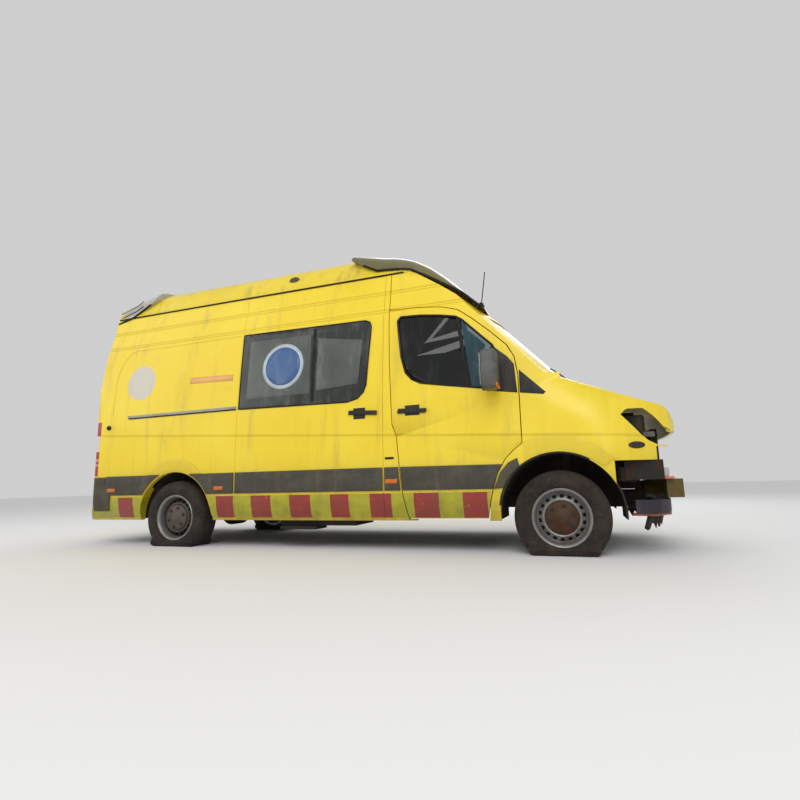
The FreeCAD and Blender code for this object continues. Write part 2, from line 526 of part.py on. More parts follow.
# section in (radius, offset along the axle)
tyre_half = [(BR + 0.5, 92), (RF + 0.5, 92), (RF + 6, 104), (262, 117.5), (305, 115), (338, 101), (352, 82), (356, 45), (356, 0)]
tyre_pts = tyre_half + [(r, -y) for r, y in reversed(tyre_half[:-1])]
rim_pts = [(BR, -92), (RF, -93), (RF, -101), (BR - 6, -101), (BR - 12, -80), (178, -60), (178, 40), (150, 62), (100, 70), (75, 62), (36, 62), (36, 54),
           (d("spindle_radius") + d("running_gap"), 54), (d("spindle_radius") + d("running_gap"), -25), (70, -25), (75, 46), (100, 56), (146, 48), (166, 32), (190, 45), (BR - 6, 101), (RF, 101), (RF, 93), (BR, 92),
           (BR, 60), (190, 40), (190, -60), (BR, -80)]
rim_pts = [(BR, -92), (RF, -93), (RF, -101), (BR - 8, -101), (BR - 12, -80), (180, -60), (180, 28), (150, 48), (100, 56), (75, 46), (70, -25),
           (d("spindle_radius") + d("running_gap"), -25), (d("spindle_radius") + d("running_gap"), 62), (75, 62), (100, 70), (152, 62),
           (192, 40), (BR - 8, 101), (RF, 101), (RF, 93), (BR, 92), (BR, 76), (196, 40), (192, 30), (192, -62), (BR, -80)]


def tyre(label, x, side):
    b = revolve_body(label + "_ring", tyre_pts)
    doc.recompute()
    s = b.Shape.copy()
    s = s.cut(Part.makeBox(900, 400, 200, V(-450, -200, -H - 200)))
    sec = [(-100, -170), (-122, -205), (-137, -235), (-137, -258), (-124, -H), (124, -H), (137, -258), (137, -235), (122, -205), (100, -170)]
    f = Part.Face(Part.makePolygon([V(-255, y, z) for y, z in sec + sec[:1]]))
    bulge = f.extrude(V(510, 0, 0)).common(Part.makeCylinder(R, 400, V(0, -200, 0), V(0, 1, 0)))
    bulge = bulge.cut(Part.makeCylinder(RF + 0.6, 400, V(0, -200, 0), V(0, 1, 0)))
    s = s.fuse(bulge).removeSplitter()
    o = doc.addObject("Part::Feature", label)
    o.Shape = solids_only(s)
    o.Placement = FreeCAD.Placement(V(x + AX, side * d("track_half"), H), FreeCAD.Rotation())
    node(o, label)


def rim(label, x, side):
    b = revolve_body(label, rim_pts)
    doc.recompute()
    rot = FreeCAD.Rotation() if side > 0 else FreeCAD.Rotation(V(0, 0, 1), 180)
    b.Placement = FreeCAD.Placement(V(x + AX, side * d("track_half"), H), rot)
    b.setExpression("Placement.Base.z", "Dims.hub_height")
    b.setExpression("Placement.Base.y", ("" if side > 0 else "-") + "Dims.track_half")
    b.setExpression("Placement.Base.x", FX + (" - Dims.wheelbase" if x < -100 else ""))
    node(b, label)


for side, nm in ((1, "left"), (-1, "right")):
    for x, pos in ((0.0, "front"), (-d("wheelbase"), "rear")):
        tyre("%s_%s_tyre" % (nm, pos), x, side)
        rim("%s_%s_rim" % (nm, pos), x, side)
    # upright with its spindle, steering arm and strut foot
    base = pbox(nm + "_upright", 80, 58, 235, FX + " - 40", "677" if side > 0 else "-735", "Dims.hub_height - 115")
    arm = pbox(nm + "_steer_arm", 150, 22, 24, FX + " - 150", "690" if side > 0 else "-712", "Dims.hub_height - 20")
    spn = pcyl(nm + "_spindle", "Dims.spindle_radius", "Dims.track_half + 60 - 700", FX,
               "700" if side > 0 else "-Dims.track_half - 60", "Dims.hub_height", "Y")
    fuse(nm + "_knuckle", [base, arm, spn])

# ---------------------------------------------------------------- mirrors
for side, nm in ((1, "left"), (-1, "right")):
    hs = pbox(nm + "_mirror_housing", "Dims.mirror_deep", "Dims.mirror_wide", "Dims.mirror_tall", FX + " - 515",
              "1025" if side > 0 else "-1025 - Dims.mirror_wide", 1262)
    am = pbox(nm + "_mirror_arm", 90, 95, 46, FX + " - 480", "950" if side > 0 else "-1045", 1290)
    fuse("mirror_" + nm, [hs, am])

doc.recompute()
# mirror arms stop at the door skin
for nm in ("left", "right"):
    o = [n for n in NODES if n.Label == "mirror_" + nm][0]
    c = doc.addObject("Part::Feature", "mirror_%s_trimmed" % nm)
    c.Shape = solids_only(o.Shape.cut(OUTER))
    NODES.remove(o)
    o.Label = "mirror_%s_blank" % nm
    node(c, "mirror_" + nm)

doc.recompute()
bad = []
for o in doc.Objects:
    if "Invalid" in o.State or "Error" in o.State:
        bad.append("%s %s" % (o.Label, o.State))
for o in NODES:
    s = o.Shape
    if s.isNull() or not s.isValid() or not s.Solids:
        bad.append("%s shape null or invalid" % o.Label)
if bad:
    raise RuntimeError("; ".join(bad))
labels = [o.Label for o in NODES]
if len(set(labels)) != len(labels):
    raise RuntimeError("two sub-parts share a label")
total = 0.0
for o in NODES:
    s = o.Shape
    total += s.Volume
    print("%-26s solids %d  volume %.4f m3" % (o.Label, len(s.Solids), s.Volume * 1e-9))
    s.exportStep("parts/%s.step" % o.Label)
print("sub-parts %d, solid volume %.3f m3" % (len(NODES), total * 1e-9))
bb = Part.makeCompound([o.Shape for o in NODES]).BoundBox
print("box", [round(v, 1) for v in (bb.XMin, bb.XMax, bb.YMin, bb.YMax, bb.ZMin, bb.ZMax)])
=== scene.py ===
import bpy, bmesh, math, json
import numpy as np
from mathutils import Vector, Matrix, geometry


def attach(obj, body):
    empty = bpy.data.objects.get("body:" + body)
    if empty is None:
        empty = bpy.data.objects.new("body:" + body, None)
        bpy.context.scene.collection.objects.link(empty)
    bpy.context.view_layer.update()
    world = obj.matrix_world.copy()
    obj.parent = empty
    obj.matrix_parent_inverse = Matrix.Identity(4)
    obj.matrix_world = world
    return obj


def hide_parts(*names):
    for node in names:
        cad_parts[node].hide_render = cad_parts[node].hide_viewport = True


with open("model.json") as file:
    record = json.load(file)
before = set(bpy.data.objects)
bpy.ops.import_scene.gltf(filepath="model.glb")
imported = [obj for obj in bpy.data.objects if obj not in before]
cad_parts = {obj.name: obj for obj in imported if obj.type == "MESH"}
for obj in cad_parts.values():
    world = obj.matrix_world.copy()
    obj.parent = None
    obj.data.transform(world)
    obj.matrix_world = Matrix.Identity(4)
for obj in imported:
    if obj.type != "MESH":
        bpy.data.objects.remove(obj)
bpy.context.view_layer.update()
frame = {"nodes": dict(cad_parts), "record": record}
N = frame["nodes"]
AX = 1.990

# ------------------------------------------------------------ camera
cam_d = bpy.data.cameras.new("cam")
cam = bpy.data.objects.new("cam", cam_d)
bpy.context.scene.collection.objects.link(cam)
yaw, pitch, roll = 0.340945, 0.161671, -0.023922
f = Vector((-math.sin(yaw) * math.cos(pitch), math.cos(yaw) * math.cos(pitch), math.sin(pitch)))
r = Vector((math.cos(yaw), math.sin(yaw), 0))
u = r.cross(f)
R = math.cos(roll) * r + math.sin(roll) * u
U = -math.sin(roll) * r + math.cos(roll) * u
M = Matrix((R, U, -f)).transposed().to_4x4()
M.translation = Vector((0.166 + AX, -4.9902, 0.5717))
cam.matrix_world = M
cam_d.sensor_width = 36
cam_d.lens = 501.485 / 800 * 36
cam_d.clip_end = 200
bpy.context.scene.camera = cam
bpy.context.scene.view_settings.view_transform = "Standard"

# ------------------------------------------------------------ shader helpers
def lin(c):
    return tuple([(v / 255 / 12.92) if v / 255 <= 0.04045 else ((v / 255 + 0.055) / 1.055) ** 2.4 for v in c]) + (1.0,)


class G:
    def __init__(self, name):
        self.m = bpy.data.materials.new(name)
        self.m.use_nodes = True
        self.t = self.m.node_tree
        self.b = self.t.nodes["Principled BSDF"]
        tc = self.t.nodes.new("ShaderNodeTexCoord")
        self.p = tc.outputs["Object"]
        s = self.t.nodes.new("ShaderNodeSeparateXYZ")
        self.t.links.new(self.p, s.inputs[0])
        self.x, self.y, self.z = s.outputs

    def lk(self, a, sock):
        if isinstance(a, (int, float)):
            sock.default_value = a
        elif isinstance(a, tuple):
            sock.default_value = a
        else:
            self.t.links.new(a, sock)

    def math(self, op, a, b=0.0, clamp=False):
        n = self.t.nodes.new("ShaderNodeMath")
        n.operation = op
        n.use_clamp = clamp
        self.lk(a, n.inputs[0])
        self.lk(b, n.inputs[1])
        return n.outputs[0]

    def noise(self, scale, detail=4.0, rough=0.55, stretch=None):
        n = self.t.nodes.new("ShaderNodeTexNoise")
        n.inputs["Scale"].default_value = scale
        n.inputs["Detail"].default_value = detail
        n.inputs["Roughness"].default_value = rough
        v = self.p
        if stretch:
            mp = self.t.nodes.new("ShaderNodeMapping")
            mp.inputs["Scale"].default_value = stretch
            self.t.links.new(v, mp.inputs["Vector"])
            v = mp.outputs[0]
        self.t.links.new(v, n.inputs["Vector"])
        return n.outputs["Fac"]

    def ramp(self, fac, stops, const=False):
        n = self.t.nodes.new("ShaderNodeValToRGB")
        if const:
            n.color_ramp.interpolation = "CONSTANT"
        e = n.color_ramp.elements
        while len(e) > 1:
            e.remove(e[0])
        e[0].position = stops[0][0]
        e[0].color = stops[0][1]
        for p, c in stops[1:]:
            k = e.new(p)
            k.color = c
        self.lk(fac, n.inputs[0])
        return n.outputs[0]

    def mix(self, fac, a, b, mode="MIX"):
        n = self.t.nodes.new("ShaderNodeMix")
        n.data_type = "RGBA"
        n.blend_type = mode
        self.lk(fac, n.inputs[0])
        self.lk(a, n.inputs[6])
        self.lk(b, n.inputs[7])
        return n.outputs[2]

    def step(self, v, a, b):
        n = self.t.nodes.new("ShaderNodeMapRange")
        n.interpolation_type = "SMOOTHSTEP"
        self.lk(v, n.inputs[0])
        n.inputs[1].default_value = a
        n.inputs[2].default_value = b
        return n.outputs[0]

    def bump(self, h, dist=0.002, strength=0.5, after=None):
        n = self.t.nodes.new("ShaderNodeBump")
        n.inputs["Distance"].default_value = dist
        n.inputs["Strength"].default_value = strength
        self.t.links.new(h, n.inputs["Height"])
        if after is not None:
            self.t.links.new(after, n.inputs["Normal"])
        self.t.links.new(n.outputs[0], self.b.inputs["Normal"])
        return n.outputs[0]

    def out(self, col, rough=0.5, metal=0.0, **kw):
        self.lk(col, self.b.inputs["Base Color"])
        self.lk(rough, self.b.inputs["Roughness"])
        self.b.inputs["Metallic"].default_value = metal
        for k, v in kw.items():
            self.b.inputs[k.replace("_", " ")].default_value = v
        return self.m


DUST = lin((128, 112, 82))
MUD = lin((62, 50, 36))


def grimy(g, col, amount=0.5, low=0.9):
    """dust in blotches, runs of dirt down the sides, and mud along the bottom"""
    run = g.noise(1.0, 6, 0.7, (7.0, 7.0, 0.7))
    blot = g.noise(2.3, 8, 0.65)
    m = g.math("MULTIPLY", g.step(run, 0.50, 0.80), amount)
    m2 = g.math("MULTIPLY", g.step(blot, 0.55, 0.85), amount * 0.8)
    col = g.mix(m, col, DUST)
    col = g.mix(m2, col, DUST)
    h = g.step(g.z, low, 0.22)
    fine = g.noise(9.0, 8, 0.7)
    col = g.mix(g.math("MULTIPLY", g.math("MULTIPLY", h, fine), 0.9, True), col, MUD)
    return col


def paint(name, base, stripes=False, disc=False, amount=0.35):
    g = G(name)
    tone = g.noise(0.8, 3)
    col = g.mix(g.step(tone, 0.3, 0.75), lin(base), lin(tuple(min(255, int(v * 1.0 + k)) for v, k in zip(base, (6, 10, 26)))))
    if stripes:
        red, lime = lin((168, 40, 34)), lin((196, 192, 20))
        edges = [(-4.90, 1), (-4.496, 1), (-4.394, 0), (-4.211, 1), (-4.071, 1), (-3.165, 0), (-2.964, 1), (-2.941, 1), (-2.768, 0),
                 (-2.550, 1), (-2.349, 0), (-2.144, 1), (-1.945, 0), (-1.756, 1), (-1.568, 0), (-1.363, 1), (-1.162, 0),
                 (-0.957, 1), (-0.763, 0), (-0.558, 1)]
        fac = g.math("DIVIDE", g.math("ADD", g.x, 4.95 - AX), 4.6)
        stops = [((x + 4.95) / 4.6, lime if k else red) for x, k in edges]
        blocks = g.ramp(fac, stops, True)
        zc = g.math("MULTIPLY", g.math("LESS_THAN", g.z, 0.478), g.math("GREATER_THAN", g.z, 0.275))
        xc = g.math("LESS_THAN", g.x, AX - 0.52)
        yc = g.math("GREATER_THAN", g.math("ABSOLUTE", g.y), 0.90)
        scuff = g.step(g.noise(26.0, 6, 0.75), 0.62, 0.70)
        mask = g.math("MULTIPLY", g.math("MULTIPLY", zc, xc), yc)
        mask = g.math("MULTIPLY", mask, g.math("SUBTRACT", 1.0, g.math("MULTIPLY", scuff, 0.6)))
        col = g.mix(mask, col, blocks)
    if disc:
        dx = g.math("SUBTRACT", g.x, AX - 4.207)
        dz = g.math("SUBTRACT", g.z, 1.683)
        dist = g.math("SQRT", g.math("ADD", g.math("POWER", dx, 2.0), g.math("POWER", dz, 2.0)))
        col = g.mix(g.math("LESS_THAN", dist, 0.188), col, lin((205, 199, 184)))
    col = grimy(g, col, amount)
    # worn spots where the paint has gone dull, and small chips
    chips = g.step(g.noise(48.0, 4, 0.6), 0.74, 0.78)
    col = g.mix(g.math("MULTIPLY", chips, 0.6), col, lin((92, 70, 44)))
    b1 = g.bump(g.noise(5.0, 3), 0.004, 0.25)
    # belt crease that falls towards the front, and two long swages high on the side
    belt = g.math("ADD", g.math("MULTIPLY", g.math("SUBTRACT", g.x, AX - 4.61), -0.050), 1.134)
    d = g.math("SUBTRACT", g.z, belt)
    cre = g.step(d, -0.018, 0.012)
    s1 = g.math("SUBTRACT", 1.0, g.step(g.math("ABSOLUTE", g.math("SUBTRACT", g.z, 2.112)), 0.004, 0.022))
    s2 = g.math("SUBTRACT", 1.0, g.step(g.math("ABSOLUTE", g.math("SUBTRACT", g.z, 2.300)), 0.004, 0.022))
    hgt = g.math("SUBTRACT", g.math("SUBTRACT", cre, s1), s2)
    g.bump(hgt, 0.012, 0.9, b1)
    rg = g.math("ADD", 0.30, g.math("MULTIPLY", g.noise(3.0, 5), 0.30))
    return g.out(col, rg, 0.0, Coat_Weight=0.25, Coat_Roughness=0.25)


def plastic(name, c, c2=None, rough=0.6, amount=0.4, grain=220.0, spec=0.4):
    g = G(name)
    c2 = c2 or tuple(min(255, v + 26) for v in c)
    col = g.mix(g.step(g.noise(6.0, 7, 0.7), 0.35, 0.7), lin(c), lin(c2))
    col = grimy(g, col, amount)
    g.bump(g.noise(grain, 2), 0.0006, 0.6)
    return g.out(col, g.math("ADD", rough - 0.1, g.math("MULTIPLY", g.noise(8.0, 5), 0.2)), 0.0, Specular_IOR_Level=spec)


def glossy_glass(name, c, c2, trans=0.0, rough=0.08, amount=0.25):
    g = G(name)
    col = g.mix(g.step(g.noise(1.6, 5, 0.6), 0.3, 0.75), lin(c), lin(c2))
    film = g.math("MULTIPLY", g.step(g.noise(3.0, 7, 0.7, (3, 3, 0.8)), 0.45, 0.8), amount)
    col = g.mix(film, col, lin((168, 166, 156)))
    rg = g.math("ADD", rough, g.math("MULTIPLY", film, 0.5))
    return g.out(col, rg, 0.0, Transmission_Weight=trans, IOR=1.45)


def metal(name, c, c2, rough=0.45, met=0.8, rust=0.3):
    g = G(name)
    col = g.mix(g.noise(14.0, 6, 0.7), lin(c), lin(c2))
    rs = g.math("MULTIPLY", g.step(g.noise(7.0, 8, 0.75), 0.5, 0.66), rust)
    col = g.mix(rs, col, lin((96, 52, 26)))
    g.bump(g.noise(60.0, 5), 0.001, 0.5)
    return g.out(col, g.math("ADD", rough, g.math("MULTIPLY", rs, 0.4)), met)


YEL = (238, 207, 22)
M_body = paint("yellow_body", YEL, stripes=True, disc=True)
M_yel = paint("yellow_plain", YEL, amount=0.30)
M_roof = paint("yellow_fairing", (232, 203, 30), amount=0.75)
M_flare = paint("yellow_flare", (226, 196, 24), amount=0.25)
M_blk = plastic("black_plastic", (22, 22, 23), (44, 43, 41))
M_rub = plastic("black_rubber", (12, 12, 12), (30, 28, 26), 0.8)
M_rail = plastic("rail_grey", (62, 62, 55), (84, 82, 70), 0.7, 0.5)
M_bump = plastic("bumper_grey", (70, 66, 54), (92, 86, 68), 0.75, 0.5)
M_grey = plastic("mirror_grey", (74, 74, 72), (98, 98, 95), 0.55, 0.25)
M_dark = plastic("dark_bay", (14, 13, 12), (34, 28, 22), 0.85, 0.3)
M_orange = plastic("orange_lens", (214, 96, 14), (236, 130, 26), 0.3, 0.2)
M_navy = plastic("navy_panel", (12, 20, 44), (24, 34, 62), 0.5, 0.3)
M_pink = plastic("pink_strip", (214, 108, 96), (232, 140, 120), 0.6, 0.2)
M_pinkbar = plastic("pink_bar", (232, 168, 110), (238, 190, 96), 0.5, 0.15)
M_white = plastic("pale_plastic", (196, 192, 180), (214, 210, 198), 0.5, 0.35)
M_win = glossy_glass("window_grey", (34, 38, 36), (58, 62, 58), 0.0, 0.12)
M_frost = glossy_glass("window_frosted", (70, 76, 72), (96, 102, 96), 0.0, 0.3)
M_door_glass = glossy_glass("door_glass", (6, 8, 9), (16, 20, 22), 0.35, 0.05, 0.10)
M_teal = glossy_glass("quarter_glass", (26, 54, 62), (40, 72, 80), 0.0, 0.08)
# windscreen and mirror glass: the pale blue-grey base colour is a painted reflection; the pale streaks laid over it are
# dust
M_screen_painted_reflection = glossy_glass("screen_glass_painted_reflection", (120, 136, 146), (186, 196, 200), 0.35, 0.08, 0.3)
M_dome = glossy_glass("dome_lens", (148, 136, 74), (120, 116, 84), 0.45, 0.12, 0.35)
M_rearlens = glossy_glass("rear_lens", (196, 190, 182), (222, 218, 210), 0.35, 0.15, 0.35)
M_blue = glossy_glass("blue_disc", (58, 92, 140), (76, 112, 160), 0.0, 0.3)
M_ring = glossy_glass("pale_ring", (176, 188, 200), (196, 206, 214), 0.0, 0.3)
M_rim = metal("rim_silver", (150, 150, 148), (120, 116, 110), 0.4, 0.6, 0.35)
M_rimdark = metal("rim_well", (34, 32, 31), (52, 46, 42), 0.6, 0.3, 0.6)
M_hub = metal("hub_rusty", (84, 60, 42), (58, 44, 34), 0.6, 0.5, 0.7)
M_hubgrey = metal("hub_grey", (100, 92, 84), (78, 72, 68), 0.55, 0.5, 0.3)
M_steel = metal("chassis_black", (26, 25, 24), (44, 36, 30), 0.7, 0.3, 0.6)
M_iron = metal("iron", (70, 58, 48), (48, 40, 34), 0.7, 0.5, 0.8)
M_beam = metal("beam_olive", (98, 86, 16), (70, 62, 16), 0.55, 0.0, 0.5)
M_alu = metal("rail_alu", (170, 168, 160), (130, 126, 116), 0.4, 0.7, 0.1)
M_seat = plastic("seat_fabric", (30, 32, 40), (48, 50, 58), 0.9, 0.1, 500)
M_floor = plastic("floor_vinyl", (104, 108, 110), (128, 130, 130), 0.6, 0.3)


def tyre_mat():
    g = G("tyre_rubber")
    col = g.mix(g.step(g.noise(5.0, 8, 0.75), 0.35, 0.7), lin((26, 22, 19)), lin((58, 47, 37)))
    n = g.noise(26.0, 6, 0.7)
    col = g.mix(g.math("MULTIPLY", g.step(n, 0.55, 0.75), 0.6), col, lin((96, 80, 60)))
    g.bump(g.noise(70.0, 5), 0.003, 0.8)
    return g.out(col, 0.9, 0.0)


M_tyre = tyre_mat()


def lamp_mat():
    g = G("tail_lamp")
    red, wht, pale = lin((170, 26, 34)), lin((222, 208, 192)), lin((206, 150, 140))
    fac = g.math("DIVIDE", g.math("SUBTRACT", g.z, 0.70), 0.60)
    col = g.ramp(fac, [(0.0, red), (0.18, pale), (0.22, red), (0.26, pale), (0.31, red), (0.44, wht), (0.72, red)], True)
    rib = g.t.nodes.new("ShaderNodeTexWave")
    rib.inputs["Scale"].default_value = 30.0
    g.t.links.new(g.p, rib.inputs["Vector"])
    col = grimy(g, col, 0.3)
    g.bump(rib.outputs["Fac"], 0.001, 0.5)
    return g.out(col, 0.15, 0.0, Coat_Weight=0.6)


M_lamp = lamp_mat()

# ------------------------------------------------------------ form of the side
WALL = [(0.932, .251), (.962, .330), (.980, .420), (.985, .520), (.985, .700), (.984, .950), (.976, 1.270), (.947, 1.650),
        (.906, 2.060), (.886, 2.130), (.848, 2.300), (.815, 2.480), (.805, 2.52)]
PLAN = [(.080, .990), (.220, .984), (.380, .962), (.520, .925), (.640, .880), (.740, .818), (.820, .730), (.868, .600)]
wz, wy = [p[1] for p in WALL], [p[0] for p in WALL]
px, py = [p[0] for p in PLAN], [p[1] for p in PLAN]


def side_y(x, z):
    y = float(np.interp(z, wz, wy))
    if x > 0.08:
        y = min(y, float(np.interp(x, px, py)))
    if x < -4.705:
        q = min(1.0, (-4.705 - x) / 0.095)
        y -= 0.095 * (1 - math.sqrt(max(0.0, 1 - q * q)))
    return y


def link(name, me, mats, body, smooth=True):
    o = bpy.data.objects.new(name, me)
    bpy.context.scene.collection.objects.link(o)
    for m in (mats if isinstance(mats, list) else [mats]):
        me.materials.append(m)
    if smooth:
        me.polygons.foreach_set("use_smooth", [True] * len(me.polygons))
        me.set_sharp_from_angle(angle=math.radians(32))
    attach(o, body)
    return o


def inside(p, poly):
    c = False
    j = len(poly) - 1
    for i in range(len(poly)):
        if (poly[i][1] > p[1]) != (poly[j][1] > p[1]) and p[0] < (poly[j][0] - poly[i][0]) * (p[1] - poly[i][1]) / (poly[j][1] - poly[i][1]) + poly[i][0]:
            c = not c
        j = i
    return c


def patch(name, poly, s, off, thick, mat, body, grid=0.07, bevel=0.003):
    """A panel that follows the side of the van: outline in (x from the front axle, z)."""
    pts = []
    n = len(poly)
    for i in range(n):
        a, b = poly[i], poly[(i + 1) % n]
        k = max(1, int(math.dist(a, b) / grid))
        for t in range(k):
            pts.append((a[0] + (b[0] - a[0]) * t / k, a[1] + (b[1] - a[1]) * t / k))
    m = len(pts)
    xs = [p[0] for p in pts]
    zs = [p[1] for p in pts]
    inner = []
    gx = np.arange(min(xs) + grid / 2, max(xs), grid)
    gz = np.arange(min(zs) + grid / 2, max(zs), grid)
    for x in gx:
        for z in gz:
            if inside((x, z), pts) and min(math.dist((x, z), q) for q in pts) > grid * 0.45:
                inner.append((float(x), float(z)))
    v, e, fc, *_ = geometry.delaunay_2d_cdt([Vector(p) for p in pts + inner], [], [list(range(m))], 1, 1e-6)
    bm = bmesh.new()
    vs = [bm.verts.new((q[0] + AX, s * (side_y(q[0], q[1]) + off), q[1])) for q in v]
    for t in fc:
        try:
            bm.faces.new([vs[k] for k in t])
        except ValueError:
            pass
    bmesh.ops.recalc_face_normals(bm, faces=bm.faces)
    nrm = sum((f_.normal.y * f_.calc_area() for f_ in bm.faces), 0.0)
    if nrm * s < 0:
        bmesh.ops.reverse_faces(bm, faces=bm.faces)
    me = bpy.data.meshes.new(name)
    bm.to_mesh(me)
    bm.free()
    o = link(name, me, mat, body, True)
    sd = o.modifiers.new("thick", "SOLIDIFY")
    sd.thickness = thick
    sd.offset = -1
    if bevel:
        bv = o.modifiers.new("edge", "BEVEL")
        bv.width = bevel
        bv.segments = 2
        bv.limit_method = "ANGLE"
        bv.angle_limit = math.radians(50)
    return o


def tube(name, pts, rad, mat, body, closed=False, res=3):
    cu = bpy.data.curves.new(name, "CURVE")
    cu.dimensions = "3D"
    sp = cu.splines.new("POLY")
    sp.points.add(len(pts) - 1)
    for i, p in enumerate(pts):
        sp.points[i].co = (p[0], p[1], p[2], 1)
    sp.use_cyclic_u = closed
    cu.bevel_depth = rad
    cu.bevel_resolution = res
    cu.use_fill_caps = True
    o = bpy.data.objects.new(name + "_path", cu)
    bpy.context.scene.collection.objects.link(o)
    bpy.context.view_layer.update()
    me = bpy.data.meshes.new_from_object(o.evaluated_get(bpy.context.evaluated_depsgraph_get()))
    bpy.data.objects.remove(o)
    me.materials.clear()
    return link(name, me, mat, body, True)


def on_side(poly, s, off):
    return [(x + AX, s * (side_y(x, z) + off), z) for x, z in poly]


def dense(poly, step=0.05, closed=True):
    out = []
    n = len(poly)
    for i in range(n if closed else n - 1):
        a, b = poly[i], poly[(i + 1) % n]
        k = max(1, int(math.dist(a, b) / step))
        out += [(a[0] + (b[0] - a[0]) * t / k, a[1] + (b[1] - a[1]) * t / k) for t in range(k)]
    if not closed:
        out.append(poly[-1])
    return out


def rbox(name, lo, hi, mat, body, bevel=0.01, seg=3):
    bm = bmesh.new()
    bmesh.ops.create_cube(bm, size=1)
    for v in bm.verts:
        v.co = Vector([(a + b) / 2 + c * (b - a) for a, b, c in zip(lo, hi, v.co)])
    bmesh.ops.bevel(bm, geom=list(bm.edges), offset=bevel, segments=seg, affect="EDGES", profile=0.5)
    me = bpy.data.meshes.new(name)
    bm.to_mesh(me)
    bm.free()
    return link(name, me, mat, body, True)


def lathe(name, prof, cx, cy, cz, s, mat, body, seg=72, skip=None):
    """prof: (radius, outboard offset) along a wheel's axle; skip leaves out faces for slots"""
    bm = bmesh.new()
    rows = []
    for rr, yy in prof:
        if rr < 1e-6:
            rows.append([bm.verts.new((cx, cy + s * yy, cz))])
        else:
            rows.append([bm.verts.new((cx + rr * math.cos(2 * math.pi * k / seg), cy + s * yy, cz + rr * math.sin(2 * math.pi * k / seg))) for k in range(seg)])
    for i in range(len(rows) - 1):
        a, b = rows[i], rows[i + 1]
        for k in range(seg):
            if skip and skip(i, k):
                continue
            k2 = (k + 1) % seg
            if len(a) == 1 and len(b) == 1:
                continue
            if len(a) == 1:
                bm.faces.new([a[0], b[k], b[k2]])
            elif len(b) == 1:
                bm.faces.new([a[k], b[0], a[k2]])
            else:
                bm.faces.new([a[k], b[k], b[k2], a[k2]])
    bmesh.ops.recalc_face_normals(bm, faces=bm.faces)
    me = bpy.data.meshes.new(name)
    bm.to_mesh(me)
    bm.free()
    return link(name, me, mat, body, True)


# ------------------------------------------------------------ CAD nodes: finish, and smooth copies of the skins
look = {}
for n in ("right_side_panel", "left_side_panel", "sliding_door", "front_door_right", "front_door_left"):
    look[n] = M_body
for n in ("cab_frame", "right_front_wing", "left_front_wing", "bonnet", "rear_door_right", "rear_door_left"):
    look[n] = M_yel
look["roof_panel"] = M_yel
look["roof_fairing"] = M_roof
for n in ("front_door_right_glass", "front_door_left_glass"):
    look[n] = M_door_glass
look["windscreen"] = M_screen_painted_reflection
for n in ("load_space_glass", "rear_door_right_glass", "rear_door_left_glass"):
    look[n] = M_win
look["tail_lamps"] = M_lamp
for n in ("wheel_arch_liners", "dashboard", "steering_wheel"):
    look[n] = M_dark
for n in ("chassis_frame", "underfloor_tanks", "leaf_springs", "radiator_panel"):
    look[n] = M_steel
for n in ("engine_block", "rear_axle", "left_knuckle", "right_knuckle"):
    look[n] = M_iron
look["bumper_beam"] = M_beam
look["front_lower_panel"] = M_navy
look["floor_pan"] = look["bulkhead"] = M_floor
look["rear_bumper"] = M_bump
look["cab_seats"] = M_seat
for s_ in ("left", "right"):
    for p_ in ("front", "rear"):
        look["%s_%s_tyre" % (s_, p_)] = M_tyre
        look["%s_%s_rim" % (s_, p_)] = M_rimdark
bodies_of = {n: b for b, ns in frame["record"]["behaviour"]["bodies"].items() for n in ns}
HIDE = {"cab_seats", "mirror_left", "mirror_right", "front_beacon_bar", "rear_beacon_bar", "left_front_rim", "right_front_rim", "left_rear_rim", "right_rear_rim"}
for n, m in look.items():
    if n in HIDE:
        continue
    me = N[n].data.copy()
    me.name = n + "_skin"
    me.materials.clear()
    bm = bmesh.new()
    bm.from_mesh(me)
    bmesh.ops.remove_doubles(bm, verts=bm.verts, dist=0.00005)
    bmesh.ops.recalc_face_normals(bm, faces=bm.faces)
    bm.to_mesh(me)
    bm.free()
    if me.has_custom_normals:
        bpy_obj = None
    o = link(n + "_skin", me, m, bodies_of[n], True)
    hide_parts(n)

VB = "van_body"
DOOR = {-1: "front_right_door", 1: "front_left_door"}

